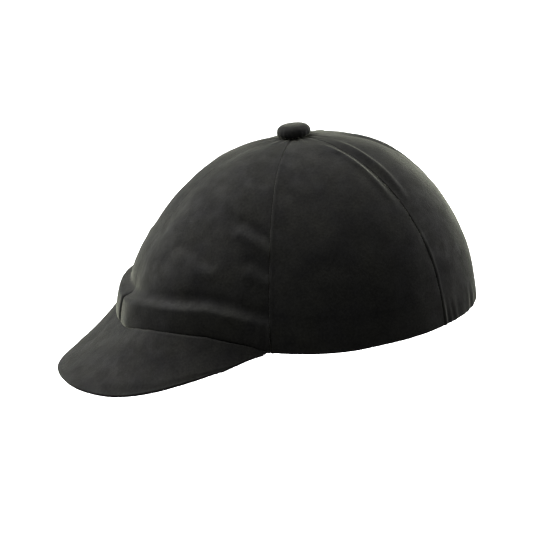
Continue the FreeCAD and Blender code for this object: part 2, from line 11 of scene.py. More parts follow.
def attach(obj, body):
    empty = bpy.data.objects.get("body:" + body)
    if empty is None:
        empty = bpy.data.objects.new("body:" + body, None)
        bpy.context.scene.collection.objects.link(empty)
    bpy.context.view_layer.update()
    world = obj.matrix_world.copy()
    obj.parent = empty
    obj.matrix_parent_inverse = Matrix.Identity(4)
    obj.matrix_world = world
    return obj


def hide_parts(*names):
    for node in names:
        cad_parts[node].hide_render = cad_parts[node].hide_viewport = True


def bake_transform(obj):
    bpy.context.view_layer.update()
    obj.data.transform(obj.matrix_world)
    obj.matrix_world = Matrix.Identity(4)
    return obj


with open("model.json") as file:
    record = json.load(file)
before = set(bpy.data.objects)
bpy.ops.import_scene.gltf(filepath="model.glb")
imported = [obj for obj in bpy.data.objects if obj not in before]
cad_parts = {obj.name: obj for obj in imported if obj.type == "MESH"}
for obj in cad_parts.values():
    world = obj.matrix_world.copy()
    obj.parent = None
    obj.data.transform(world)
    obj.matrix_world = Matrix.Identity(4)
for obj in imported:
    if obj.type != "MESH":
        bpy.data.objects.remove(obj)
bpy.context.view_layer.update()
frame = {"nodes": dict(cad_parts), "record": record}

# Lengths are millimetres in the hat's own frame (front -X, left -Y, rim at z = 0) until place() seats them.
MM = 0.001
FRONT_REACH, REAR_REACH, HALF_WIDTH = 142, 111, 106.5
CROWN_HEIGHT, APEX_LEAD = 124, 4.8
OUTLINE_POWER, PROFILE_POWER = 2.2, 2.24
FRONT_FULLNESS, REAR_FULLNESS = 1.2, 2.2
BROW_RISE, BROW_LIMIT, BROW_BEND = 22, 11.5, 4
HEM_DROP = 1.7
GORE_TOP = 0.9992
SIDE_SEAM, REAR_SEAM = 57.2, 123.2
SEAM_GAP = 0.012
CLOTH_THICK = 1.1
CLOTH_DEEPEST = -1.75
LEFT, RIGHT = 1, -1

mount = frame["record"]["mounts"][0]
hat_up = -Vector(mount["axis"])
HAT = Matrix.Translation(mount["pos_m"]) @ Matrix.Rotation(math.atan2(hat_up.x, hat_up.z), 4, "Y")
HAT_TURN = np.array(HAT.to_3x3())
HAT_SPOT = np.array(HAT.translation)


def place(points):
    """Hat-frame millimetres to metres in the row frame."""
    return np.asarray(points, float).reshape(-1, 3) * MM @ HAT_TURN.T + HAT_SPOT


# ---- shapes ----


def brow(azimuth):
    rise = BROW_RISE * np.maximum(np.cos(azimuth), 0) ** 2
    return rise * (1 + (rise / BROW_LIMIT) ** BROW_BEND) ** (-1 / BROW_BEND)


def dome(azimuth, fraction, inset=0.0):
    """A point of the hat wall: azimuth from the front over the left, height share, depth under the cover."""
    azimuth, fraction = np.broadcast_arrays(np.asarray(azimuth, float), np.asarray(fraction, float))
    along, across = np.cos(azimuth), np.sin(azimuth)
    reach = np.where(along > 0, FRONT_REACH, REAR_REACH) - inset
    width = HALF_WIDTH - inset
    radius = (np.abs(along) / reach) ** OUTLINE_POWER + (np.abs(across) / width) ** OUTLINE_POWER
    radius = radius ** (-1 / OUTLINE_POWER)
    forward = (1 + along) / 2
    fullness = FRONT_FULLNESS * forward + REAR_FULLNESS * (1 - forward)
    shrink = (1 - np.maximum(fraction, 0) ** fullness) ** (1 / PROFILE_POWER)
    x = -(radius * shrink * along + APEX_LEAD * fraction**2)
    y = -radius * shrink * across
    z = (CROWN_HEIGHT - inset) * fraction + brow(azimuth) * (1 - fraction)
    return np.stack([x, y, z], -1)


def unit(vectors):
    return vectors / np.maximum(np.linalg.norm(vectors, axis=-1, keepdims=True), 1e-9)


def grid_normals(points, centre=(0, 0, 40)):
    """Normals of a grid of points, on the side away from the centre."""
    normals = unit(np.cross(np.gradient(points, axis=0), np.gradient(points, axis=1)))
    away = np.sum(normals * (points - np.array(centre)))
    return normals * (1 if away > 0 else -1)


def bump_at(distance, width):
    return np.exp(-((distance / width) ** 2))


def ramp(value, low, high):
    t = np.clip((value - low) / (high - low), 0, 1)
    return t * t * (3 - 2 * t)


WAVES = 9


def unevenness(seed, points, wavelength, amplitude):
    """Smooth seeded unevenness made of sine waves through space."""
    draw = np.random.default_rng(seed)
    total = 0
    for _ in range(WAVES):
        direction = draw.normal(size=3)
        direction /= np.linalg.norm(direction)
        length = wavelength * draw.uniform(0.7, 1.5)
        total = total + np.sin(points @ direction * (2 * math.pi / length) + draw.uniform(0, 2 * math.pi))
    return amplitude * total / math.sqrt(WAVES)


def to_segment(points, one, other):
    """Distance of points from the straight line between two points."""
    one, other = np.asarray(one, float), np.asarray(other, float)
    way = other - one
    t = np.clip(((points - one) @ way) / (way @ way), 0, 1)
    return np.linalg.norm(points - one - t[..., None] * way, axis=-1)


def patch_faces(n, m, ring=False):
    """Quads of a closed thin mesh: n by m points on one face, then as many on the other face."""

    def at(i, j, side):
        return side * n * m + (i % n) * m + j

    def quads(*corners):
        return np.stack([np.ravel(c) for c in corners], -1)

    k = np.arange(n if ring else n - 1)
    i, j = np.meshgrid(k, np.arange(m - 1), indexing="ij")
    last = m - 1
    made = [
        quads(at(i, j, 0), at(i + 1, j, 0), at(i + 1, j + 1, 0), at(i, j + 1, 0)),
        quads(at(i, j, 1), at(i, j + 1, 1), at(i + 1, j + 1, 1), at(i + 1, j, 1)),
        quads(at(k + 1, 0, 0), at(k, 0, 0), at(k, 0, 1), at(k + 1, 0, 1)),
        quads(at(k, last, 0), at(k + 1, last, 0), at(k + 1, last, 1), at(k, last, 1)),
    ]
    if not ring:
        j, end = np.arange(m - 1), n - 1
        made.append(quads(at(0, j, 0), at(0, j + 1, 0), at(0, j + 1, 1), at(0, j, 1)))
        made.append(quads(at(end, j + 1, 0), at(end, j, 0), at(end, j, 1), at(end, j + 1, 1)))
    return np.concatenate(made)


def tube_faces(n, m, closed):
    """Quads of a skin through n sections of m points each, with its ends capped unless it is closed."""
    i, j = np.meshgrid(np.arange(n if closed else n - 1), np.arange(m), indexing="ij")
    here, ahead = (i % n) * m, ((i + 1) % n) * m
    beside = (j + 1) % m
    faces = np.stack([here + j, here + beside, ahead + beside, ahead + j], -1).reshape(-1, 4).tolist()
    if not closed:
        faces.append(list(range(m))[::-1])
        faces.append(list(range((n - 1) * m, n * m)))
    return faces


def volume_and_area(points, faces):
    volume = area = 0.0
    for face in {len(f): None for f in faces}:
        corners = points[np.array([f for f in faces if len(f) == face])]
        for k in range(1, face - 1):
            one, two, three = corners[:, 0], corners[:, k], corners[:, k + 1]
            turned = np.cross(two - one, three - one)
            volume += np.sum(one * turned) / 6
            area += np.sum(np.linalg.norm(turned, axis=-1)) / 2
    return volume, area


def piece(name, points, faces, material, slot, nodes=(), body=None):
    """A mesh object of the helmet, from millimetres in the hat frame."""
    seated = place(points)
    faces = [list(f) for f in np.asarray(faces).tolist()] if isinstance(faces, np.ndarray) else faces
    volume, area = volume_and_area(seated - seated.mean(0), faces)
    if volume < 0:
        faces = [f[::-1] for f in faces]
    mesh = bpy.data.meshes.new(name)
    mesh.from_pydata(seated.tolist(), [], faces)
    mesh.shade_smooth()
    mesh.materials.append(material)
    thing = bpy.data.objects.new(name, mesh)
    bpy.context.collection.objects.link(thing)
    if body:
        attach(thing, body)
    if nodes:
        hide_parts(*nodes)
    return thing, area / 2


def thin(name, outer, inner, material, slot, ring=False, **where):
    """A closed thin mesh between two grids of points."""
    n, m = outer.shape[:2]
    points = np.concatenate([outer.reshape(-1, 3), inner.reshape(-1, 3)])
    return piece(name, points, patch_faces(n, m, ring), material, slot, **where)


def cut_size(outer, ring=False):
    """Width and length in metres of the cloth that a grid of points is cut from."""
    across = np.linalg.norm(np.diff(outer, axis=0), axis=-1).sum(0)
    if ring:
        across = across + np.linalg.norm(outer[0] - outer[-1], axis=-1)
    up = np.linalg.norm(np.diff(outer, axis=1), axis=-1).sum(1)
    return float(across.max()) * MM, float(up.max()) * MM


def cloth(thing_and_area, outer, ring=False):
    """Measures the cloth that a piece is cut from by the size that its mesh has, and returns the piece."""
    thing, area = thing_and_area
    width, length = cut_size(outer, ring)
    area = min(area, width * length)
    return thing


# ---- materials ----


def shader(name, colour, roughness, **sockets):
    """A new Principled material, with its texture coordinate in the object's own metres."""
    material = bpy.data.materials.new(name)
    material.use_nodes = True
    nodes, links = material.node_tree.nodes, material.node_tree.links
    surface = nodes["Principled BSDF"]
    surface.inputs["Base Color"].default_value = (*colour, 1)
    surface.inputs["Roughness"].default_value = roughness
    for key, value in sockets.items():
        surface.inputs[key.replace("_", " ").title().replace("Ior", "IOR")].default_value = value
    where = nodes.new("ShaderNodeTexCoord").outputs["Object"]
    return material, nodes, links, surface, where


def noise(nodes, links, where, size, detail=2.0):
    """Noise whose grains are about size millimetres."""
    texture = nodes.new("ShaderNodeTexNoise")
    texture.inputs["Scale"].default_value = 1 / (size * MM)
    texture.inputs["Detail"].default_value = detail
    links.new(where, texture.inputs["Vector"])
    return texture.outputs["Fac"]


def blended(nodes, links, factor, dark, light, low=0.3, high=0.7):
    """A colour that runs from dark to light as the factor does from low to high."""
    steps = nodes.new("ShaderNodeValToRGB")
    steps.color_ramp.elements[0].position = low
    steps.color_ramp.elements[0].color = (*dark, 1)
    steps.color_ramp.elements[1].position = high
    steps.color_ramp.elements[1].color = (*light, 1)
    links.new(factor, steps.inputs["Fac"])
    return steps.outputs["Color"]


def multiplied(nodes, links, one, other):
    mix = nodes.new("ShaderNodeMix")
    mix.data_type = "RGBA"
    mix.blend_type = "MULTIPLY"
    mix.inputs["Factor"].default_value = 1
    links.new(one, mix.inputs["A"])
    links.new(other, mix.inputs["B"])
    return mix.outputs["Result"]


def bumped(nodes, links, surface, height, depth, strength=1.0, over=None):
    """Surface relief of that depth in millimetres, laid over another relief if one is given."""
    bump = nodes.new("ShaderNodeBump")
    bump.inputs["Distance"].default_value = depth * MM
    bump.inputs["Strength"].default_value = strength
    links.new(height, bump.inputs["Height"])
    if over:
        links.new(over, bump.inputs["Normal"])
    links.new(bump.outputs["Normal"], surface.inputs["Normal"])
    return bump.outputs["Normal"]


def velvet():
    """Short-pile black velvet: rubbed patches, fine mottling, a soft bright edge where it turns away."""
    material, nodes, links, surface, where = shader(
        "velvet",
        (0.006, 0.006, 0.0055),
        0.85,
        sheen_weight=0.19,
        sheen_roughness=0.26,
        specular_ior_level=0.05,
    )
    surface.inputs["Sheen Tint"].default_value = (0.92, 0.95, 0.74, 1)
    patch = noise(nodes, links, where, 16, 3)
    patches = blended(nodes, links, patch, (0.0030,) * 3, (0.0048, 0.0048, 0.0040))
    mottle = blended(nodes, links, noise(nodes, links, where, 1.5, 4), (0.62,) * 3, (1.35,) * 3)
    links.new(multiplied(nodes, links, patches, mottle), surface.inputs["Base Color"])
    rough = blended(nodes, links, noise(nodes, links, where, 9, 3), (0.74,) * 3, (0.92,) * 3)
    links.new(rough, surface.inputs["Roughness"])
    nap = bumped(nodes, links, surface, noise(nodes, links, where, 4.5, 3), 0.30, 0.6)
    bumped(nodes, links, surface, noise(nodes, links, where, 0.7, 2), 0.22, 0.7, over=nap)
    return material


def woven(name, dark, light, pitch, depth, roughness, sheen):
    """Cloth whose crossing threads repeat every pitch millimetres."""
    material, nodes, links, surface, where = shader(
        name, dark, roughness, sheen_weight=sheen, specular_ior_level=0.25
    )
    heights = []
    for axis in ("X", "Z"):
        threads = nodes.new("ShaderNodeTexWave")
        threads.bands_direction = axis
        threads.inputs["Scale"].default_value = 1 / (pitch * MM) / (2 * math.pi)
        threads.inputs["Distortion"].default_value = 0.6
        links.new(where, threads.inputs["Vector"])
        heights.append(threads.outputs["Fac"])
    both = nodes.new("ShaderNodeMath")
    both.operation = "ADD"
    for socket, height in zip(both.inputs, heights):
        links.new(height, socket)
    wear = blended(nodes, links, noise(nodes, links, where, 12, 3), dark, light)
    links.new(wear, surface.inputs["Base Color"])
    bumped(nodes, links, surface, both.outputs["Value"], depth, 0.6)
    return material


def plain(name, dark, light, roughness, grain, depth, metallic=0.0, **sockets):
    """A moulded, painted or metal surface with slight unevenness in colour, gloss and relief."""
    material, nodes, links, surface, where = shader(name, dark, roughness, metallic=metallic, **sockets)
    tone = blended(nodes, links, noise(nodes, links, where, grain * 6, 3), dark, light)
    links.new(tone, surface.inputs["Base Color"])
    fine = noise(nodes, links, where, grain, 3)
    gloss = blended(nodes, links, fine, (roughness * 0.85,) * 3, (min(1, roughness * 1.15),) * 3)
    links.new(gloss, surface.inputs["Roughness"])
    bumped(nodes, links, surface, fine, depth, 0.5)
    return material


def beaded():
    """Moulded bead foam: dark cells about 3 mm across with fine creases between them; the colour darkens
    towards each crease as painted shade.
    """
    material, nodes, links, surface, where = shader("foam_beads", (0.05, 0.05, 0.052), 0.75)
    cells = nodes.new("ShaderNodeTexVoronoi")
    cells.inputs["Scale"].default_value = 1 / (3.2 * MM)
    links.new(where, cells.inputs["Vector"])
    # The crease colour is painted shade: each cell is coloured darker towards its edge, where the bump sinks
    # the crease.
    bead, crease = (0.065, 0.065, 0.067), (0.03, 0.03, 0.032)
    tone = blended(nodes, links, cells.outputs["Distance"], bead, crease, 0.2, 0.6)
    links.new(tone, surface.inputs["Base Color"])
    dip = nodes.new("ShaderNodeMath")
    dip.operation = "MULTIPLY"
    dip.inputs[1].default_value = -1
    links.new(cells.outputs["Distance"], dip.inputs[0])
    bumped(nodes, links, surface, dip.outputs["Value"], 0.5, 0.8)
    return material


VELVET = velvet()
LINING = woven("lining_cloth", (0.014, 0.014, 0.015), (0.024, 0.024, 0.025), 0.9, 0.12, 0.8, 0.12)
PAD_CLOTH = woven("pad_cloth", (0.020, 0.020, 0.022), (0.036, 0.036, 0.038), 1.3, 0.22, 0.9, 0.25)
WEBBING = woven("webbing", (0.010, 0.010, 0.010), (0.020, 0.020, 0.020), 1.1, 0.2, 0.62, 0.1)
ELASTIC = woven("elastic", (0.012, 0.012, 0.012), (0.022, 0.022, 0.022), 0.8, 0.2, 0.7, 0.1)
THREAD = plain("thread", (0.012, 0.012, 0.012), (0.024, 0.024, 0.023), 0.55, 0.4, 0.08)
SHELL = plain("shell_plastic", (0.010, 0.010, 0.011), (0.016, 0.016, 0.017), 0.28, 2.5, 0.02)
MOULDED = plain(
    "moulded_plastic", (0.012, 0.012, 0.012), (0.020, 0.020, 0.020), 0.56, 0.8, 0.04, specular_ior_level=0.2
)
BOARD = plain("core_board", (0.035, 0.034, 0.032), (0.055, 0.053, 0.050), 0.7, 1.2, 0.05)
STEEL = plain("rivet_steel", (0.42, 0.42, 0.41), (0.55, 0.55, 0.54), 0.34, 0.6, 0.01, metallic=1.0)
FOAM = beaded()


# ---- velvet cover ----

# The padded band over the brow: azimuths, and there its top, its foot (the peak's join) and its fullness.
ROLL_AZIMUTHS = (0, 8, 21, 38, 48, 57.2)
ROLL_TOPS = (0.208, 0.222, 0.240, 0.256, 0.222, 0.182)
ROLL_FULL_AZIMUTHS = (0, 4, 15, 35, 50, 57.2)
ROLL_FULLNESS = (5.2, 5.2, 4.6, 4.2, 2.9, 1.4)
JOIN_AZIMUTHS = (0, 7, 13.5, 20, 28, 38, 50, 54.5, 57.2)
JOIN_HEIGHTS = (11.6, 12.0, 14.6, 16.6, 17.3, 17.0, 11.6, 8.6, 7.4)
ROLL_RIDGE = 0.72
ROLL_FOOT_SHARE = 0.22
EDGE_ROLL = 0.4
HEM_ROLL = 1.2
FLUSH_SEAM = 0.6
EDGE_STEPS = (0, 0.2, 0.5, 0.9, 1.4, 2.0, 2.8, 3.8, 5.0)


def share(height, azimuth=math.pi / 2):
    """The height share of a point that high on the hat wall."""
    return (height - brow(azimuth)) / (CROWN_HEIGHT - brow(azimuth))


def join_height(degrees):
    return np.interp(np.abs(degrees), JOIN_AZIMUTHS, JOIN_HEIGHTS)


def spaced(length, count, steps=EDGE_STEPS):
    """Places from 0 to 1 along a length in millimetres, close together near both ends."""
    near = np.array(steps) / length
    middle = np.linspace(near[-1], 1 - near[-1], count)[1:-1]
    return np.concatenate([near, middle, 1 - near[::-1]])


def wall_shares(azimuth, low, high, count, steps=EDGE_STEPS):
    """Height shares spaced evenly along the wall, closer near the foot."""
    t = np.linspace(0, 1, 400)
    shares = low + (high - low) * (1 - (1 - t) ** PROFILE_POWER)
    line = dome(azimuth, shares)
    run = np.concatenate([[0], np.cumsum(np.linalg.norm(np.diff(line, axis=0), axis=-1))])
    near = np.array(steps)
    places = np.concatenate([near, np.linspace(near[-1], run[-1], count)[1:]])
    return np.interp(places, run, shares)


def rolled(distance, radius):
    """How far an edge has turned in, that near to it."""
    inside = np.clip(1 - distance / radius, 0, 1)
    return radius * (1 - np.sqrt(1 - inside**2))


FOLD_DROP = 0.055
FOLD_WIDTH = 4.5
# Creases of a front gore: each end's azimuth and height share, then the depth.
FRONT_FOLDS = (
    ((45, 0.656), (57.5, 0.57), 1.5),
    ((50.5, 0.462), (56.5, 0.415), 1.1),
    ((20, 0.52), (36, 0.44), 0.8),
)
VALLEY_DEPTH, VALLEY_RISE, VALLEY_WIDTH = 0.9, 0.016, 0.03
SLACK_DEPTH, SLACK_HEIGHT, SLACK_WIDTH = 1.5, 0.38, 0.10
SEAM_DIP, SEAM_WIDTH = 0.62, 1.7


def soft_fold(points, one, other, depth):
    """A shallow crease between two places, each an azimuth and a height share, with a swell under it."""
    ends = [dome(math.radians(azimuth), height) for azimuth, height in (one, other)]
    below = [dome(math.radians(azimuth), height - FOLD_DROP) for azimuth, height in (one, other)]
    crease = bump_at(to_segment(points, *ends), FOLD_WIDTH)
    swell = bump_at(to_segment(points, *below), FOLD_WIDTH)
    return depth * (0.9 * swell - crease)


def front_relief(degrees, height, centre, side, points):
    """Relief of a front gore: a padded band over the brow, a hollow above it and slack above that."""
    relief = 0.9 * (1 - bump_at(np.minimum(centre, side), 14)) - 0.3
    top = np.interp(degrees, ROLL_AZIMUTHS, ROLL_TOPS)
    azimuth = np.radians(degrees)
    foot = share(join_height(degrees), azimuth) - 0.004
    up = np.clip((height - foot) / (top - foot), 0, 1)
    below = ROLL_FOOT_SHARE + (1 - ROLL_FOOT_SHARE) * (up / ROLL_RIDGE) ** 0.7
    above = 1 - ramp(up, ROLL_RIDGE, 1)
    pillow = np.where(up < ROLL_RIDGE, below, above) * (1 - bump_at(up, 0.05))
    fullness = np.interp(degrees, ROLL_FULL_AZIMUTHS, ROLL_FULLNESS)
    relief += pillow * fullness * (1 - SEAM_DIP * bump_at(centre, SEAM_WIDTH))
    relief -= VALLEY_DEPTH * bump_at(height - top - VALLEY_RISE, VALLEY_WIDTH)
    relief += SLACK_DEPTH * bump_at(height - SLACK_HEIGHT, SLACK_WIDTH) * (1 - ramp(degrees, 25, 50))
    for fold in FRONT_FOLDS:
        relief += soft_fold(points, *fold)
    gathers = np.sin(side * (2 * math.pi / 6.5) + 14 * height) * np.exp(-side / 13)
    relief += 0.55 * gathers * (1 - ramp(height, 0.05, 0.19))
    relief -= 0.15 * bump_at(side, 2.2)
    return relief


def side_relief(degrees, height, front, rear, points):
    """Relief of a side gore: smooth, with a proud seam allowance in front and a hollow at the rear seam."""
    relief = 0.5 * (1 - bump_at(np.minimum(front, rear), 12)) - 0.2
    relief += 0.38 * bump_at(front - 1.5, 1.3) * (1 - ramp(height, 0.9, 0.97))
    folds = np.sin(front * (2 * math.pi / 5.6) - 26 * height) * np.exp(-front / 9)
    relief += 0.5 * folds * (1 - ramp(height, 0.03, 0.16))
    band = np.interp(degrees, (61, 92), (0.199, 0.161))
    relief += 0.22 * ramp(height, band - 0.008, band + 0.008) * (1 - ramp(height, 0.3, 0.5)) - 0.1
    relief += seam_hollow(height, rear)
    relief -= 0.2 * bump_at(rear, 2.0)
    return relief


def rear_relief(degrees, height, front, centre, points):
    """Relief of a rear gore: ridges along its seams near the crown, gathers over the hem elastic."""
    relief = 0.5 * (1 - bump_at(np.minimum(front, centre), 12)) - 0.2
    relief += seam_hollow(height, front)
    relief += 0.35 * bump_at(front - 1.4, 1.0) * (1 - ramp(height, 0.4, 0.6))
    relief += 1.2 * bump_at(centre - 4, 2.6) * ramp(height, 0.3, 0.6) * (1 - ramp(height, 0.93, 0.985))
    fade = (1 - ramp(height, 0.03, 0.16)) * ramp(degrees, 121, 126) * (1 - 0.55 * ramp(degrees, 140, 152))
    phase = front * (2 * math.pi / 7.6) + 2.6 * np.sin(front / 11) + 11 * height * np.sin(front / 6)
    strength = 0.5 + 0.35 * np.sin(front / 4.7)
    relief += fade * strength * (0.45 * np.sin(phase) + 0.3 * np.sin(0.57 * phase + 1))
    return relief


def seam_hollow(height, distance):
    """A groove about 10 mm wide along a seam near the crown, between two soft ridges."""
    fade = ramp(height, 0.62, 0.82) * (1 - ramp(height, 0.93, 0.985))
    return fade * (1.3 * bump_at(distance - 6.2, 2.6) - 1.1 * bump_at(distance, 4.2))


def crown_gathers(degrees, points):
    """Small folds that run out from under the button."""
    distance = np.hypot(points[..., 0] + APEX_LEAD, points[..., 1])
    near = bump_at(np.maximum(distance - 10, 0), 9)
    return 0.22 * near * np.sin(np.radians(degrees) * 17 + 0.6 * np.sin(np.radians(degrees) * 5))


RELIEFS = {"front": front_relief, "side": side_relief, "rear": rear_relief}
GORES = (("front", 0, SIDE_SEAM, 92), ("side", SIDE_SEAM, REAR_SEAM, 84), ("rear", REAR_SEAM, 180, 84))
ROWS_UP = 128


def gore_grid(start, end, columns):
    """Azimuths, height shares, points, normals and seam distances of a left gore."""
    width = np.linalg.norm(dome(math.radians(end), 0) - dome(math.radians(start), 0)) * 1.08
    places = spaced(width, columns)
    degrees = start + SEAM_GAP + (end - start - 2 * SEAM_GAP) * places
    low = -HEM_DROP / CROWN_HEIGHT
    heights = wall_shares(math.radians((start + end) / 2), low, GORE_TOP, ROWS_UP, EDGE_STEPS[:6])
    azimuth = np.radians(degrees)[:, None]
    points = dome(azimuth, heights[None, :])
    normals = grid_normals(points)
    from_start = np.linalg.norm(points - dome(math.radians(start), heights)[None], axis=-1)
    from_end = np.linalg.norm(points - dome(math.radians(end), heights)[None], axis=-1)
    degrees, heights = np.broadcast_arrays(degrees[:, None], heights[None, :])
    return degrees, heights, points, normals, from_start, from_end


def make_gore(kind, start, end, columns, side):
    name = f"gore_{kind}_{'left' if side == LEFT else 'right'}"
    degrees, heights, points, normals, from_start, from_end = gore_grid(start, end, columns)
    relief = RELIEFS[kind](degrees, heights, from_start, from_end, points)
    spot = points * np.array([1, side, 1])
    relief = relief + unevenness(int(start) + 5, spot, 46, 0.34)
    relief = relief + unevenness(int(start) + 12, spot, 19, 0.12)
    relief += crown_gathers(degrees, points) - 0.6 * ramp(heights, 0.88, 0.99)
    lowest = points[..., 2] - points[:, :1, 2]
    flush = FLUSH_SEAM * (kind == "front") * ramp(heights, 0.3, 0.4)
    turned_in = rolled(from_start, EDGE_ROLL) * (1 - flush) + rolled(from_end, EDGE_ROLL)
    relief -= turned_in + rolled(lowest, HEM_ROLL)
    outer = points + normals * relief[..., None]
    inner = points + normals * np.maximum(relief - CLOTH_THICK, CLOTH_DEEPEST)[..., None]
    turned = np.array([1, side, 1])
    skins = outer * turned, inner * turned
    made = thin(f"{name}_velvet", *skins, VELVET, "velvet", nodes=[name], body="cover")
    return cloth(made, outer)


def ring_band(name, section, material, slot, node, body, ripple, seed, count=300):
    """A band along the whole rim. The section lists (depth, height) corners; the ripple is its gathers."""
    azimuth = np.linspace(0, 2 * math.pi, count, endpoint=False)
    rows = []
    for inset, height in section:
        points = dome(azimuth, height / (CROWN_HEIGHT - inset), inset)
        wave = np.sin(azimuth * 61 + 2 * np.sin(azimuth * 7 + seed)) + 0.5 * np.sin(azimuth * 97 + seed)
        points[:, 2] += ripple * wave * (0.4 + 0.6 * ramp(-np.cos(azimuth), -0.2, 0.6))
        rows.append(points)
    sections = np.stack(rows, 1)
    faces = tube_faces(count, len(section), True)
    piece(name, sections.reshape(-1, 3), faces, material, slot, [node], body)


# Sections of the hem's two bands, each corner a depth under the cover and a height over the rim plane.
HEM_FACING = (
    (1.5, -1.55),
    (2.1, -1.7),
    (3.9, -1.7),
    (4.5, -1.5),
    (4.5, -1.1),
    (3.9, -0.95),
    (2.1, -0.95),
    (1.5, -1.1),
)
HEM_BAND = ((1.8, -0.75), (4.1, -0.75), (4.1, -0.3), (1.8, -0.3))


def make_hem():
    """The turned-under edge of the cover with the elastic that it holds."""
    ring_band("hem_facing_cloth", HEM_FACING, LINING, "lining_cloth", "hem_facing", "cover", 0.10, 1)
    ring_band("hem_elastic_band", HEM_BAND, ELASTIC, "elastic", "hem_elastic", "cover", 0.05, 2)


# ---- crown button ----


def turned_skin(profile, count, spot, ripple):
    """A closed skin turned about an upright axis; the ripple makes small folds lower on its side."""
    angle = np.linspace(0, 2 * math.pi, count, endpoint=False)[:, None]
    radius, height = np.array(profile, float).T
    folds = 1 + ripple * np.sin(angle * 22 + 1.3 * np.sin(angle * 3)) * ramp(-height, -6, -1.5)
    x = spot[0] + radius * folds * np.cos(angle)
    y = spot[1] + radius * folds * np.sin(angle)
    z = spot[2] + height + 0 * angle
    return np.stack([x, y, z], -1)


def smooth_line(points, count):
    """A Catmull-Rom curve through the points."""
    points = np.array(points, float)
    padded = np.concatenate([2 * points[:1] - points[1:2], points, 2 * points[-1:] - points[-2:-1]])
    out = []
    for t in np.linspace(0, len(points) - 1, count):
        k = min(int(t), len(points) - 2)
        u = t - k
        a, b, c, d = padded[k : k + 4]
        squared = 2 * a - 5 * b + 4 * c - d
        cubed = 3 * b - a - 3 * c + d
        out.append(0.5 * (2 * b + (c - a) * u + squared * u**2 + cubed * u**3))
    return np.array(out)


# Side views of the button's velvet, its inside and its former: radius and height over the crown.
BUTTON_OUTLINE = (
    (0.05, 7.5),
    (4.5, 7.45),
    (8.4, 6.85),
    (10.9, 5.0),
    (11.75, 2.6),
    (11.5, 0.7),
    (10.2, -0.55),
    (7.2, -0.45),
)
BUTTON_INSIDE = (
    (0.05, 6.4),
    (4.2, 6.35),
    (7.8, 5.8),
    (9.9, 4.3),
    (10.7, 2.5),
    (10.6, 1.1),
    (9.6, 0.2),
    (7.2, 0.1),
)
FORMER_OUTLINE = (
    (0.05, 6.2),
    (4.1, 6.15),
    (7.6, 5.6),
    (9.7, 4.1),
    (10.4, 2.5),
    (10.3, 1.6),
    (9.4, 1.0),
    (0.05, 0.9),
)


def turned_piece(name, skin, material, slot, node):
    """A solid of the cover from a closed turned skin."""
    faces = tube_faces(*skin.shape[:2], True)
    piece(name, skin.reshape(-1, 3), faces, material, slot, [node], "cover")


PATCH_OUTLINE = ((0.05, 0), (4.6, 0), (5, 0.2), (5, 0.9), (4.6, 1.1), (0.05, 1.1))
SHANK_OUTLINE = ((0.05, 0.05), (1.2, 0.05), (1.55, 0.12), (1.35, 0.2), (1.6, 0.28), (1.3, 0.38), (0.05, 0.4))
BUTTON_BACK = 0.5
BUTTON_LIFT = 0.35
BUTTON_FOLDS = 0.012
PATCH_DROP = 1.3
PATCH_THICK = 1.1
PATCH_WAVE = 0.06


def make_button():
    """Velvet over a former, its thread shank, and the stitched patch beneath."""
    spot = (-APEX_LEAD - BUTTON_BACK, 0, CROWN_HEIGHT + BUTTON_LIFT)
    outer = turned_skin(smooth_line(BUTTON_OUTLINE, 44), 160, spot, BUTTON_FOLDS)
    inner = turned_skin(smooth_line(BUTTON_INSIDE, 44), 160, spot, 0.0)
    nodes = ["crown_button_cap"]
    made = thin("crown_button_velvet", outer, inner, VELVET, "velvet", True, nodes=nodes, body="cover")
    cloth(made, outer, ring=True)
    former = turned_skin(FORMER_OUTLINE, 96, spot, 0.0)
    turned_piece("button_former_board", former, BOARD, "core_board", "crown_button_former")
    foot = CROWN_HEIGHT - PATCH_DROP
    disc = turned_skin(PATCH_OUTLINE, 72, (-APEX_LEAD, 0, foot), 0.0)
    outer_rim = np.array(PATCH_OUTLINE)[:, 0] > 3
    disc[..., 2] += PATCH_WAVE * np.sin(np.arange(72) * 3.0)[:, None] * outer_rim
    turned_piece("crown_patch_cloth", disc, LINING, "lining_cloth", "crown_patch")
    shank = turned_skin(SHANK_OUTLINE, 48, (-APEX_LEAD, 0, foot + PATCH_THICK), 0.0)
    turned_piece("button_shank_thread", shank, THREAD, "lining_cloth", "crown_button_shank")


# ---- peak ----

PEAK_TIP_REACH, PEAK_END_REACH, PEAK_END_SIDE = 189.2, 67.0, 99.7
PEAK_TIP_HEIGHT, PEAK_END_HEIGHT, PEAK_SAG, PEAK_CROWN = -15.4, 1.4, 7.8, -3.4
PEAK_ROOT_AZIMUTH, PEAK_EDGE_SWEEP = 56.3, 84
PEAK_ROOT_PLAY, PEAK_END_PLAY = 2.2, 0.4
PEAK_SKIN_TOP, PEAK_SKIN_INSIDE, PEAK_CORE_HALF = 2.2, 1.15, 0.95
PEAK_TUCK = 0.065
WRAP_BACK = 0.90
PEAK_TAPER_START = 0.91
PEAK_EDGE_THIN = 0.42
PEAK_LINING_UNDER = 2.05
LINING_WELT = 0.25
STITCH_COUNT = 74
STITCH_SPAN = 1.86
STITCH_SHARE = 0.62
STITCH_SETBACK = 0.022
STITCH_UNDER = 2.1
STITCH_SAG = 0.16
STITCH_HALF = 0.30


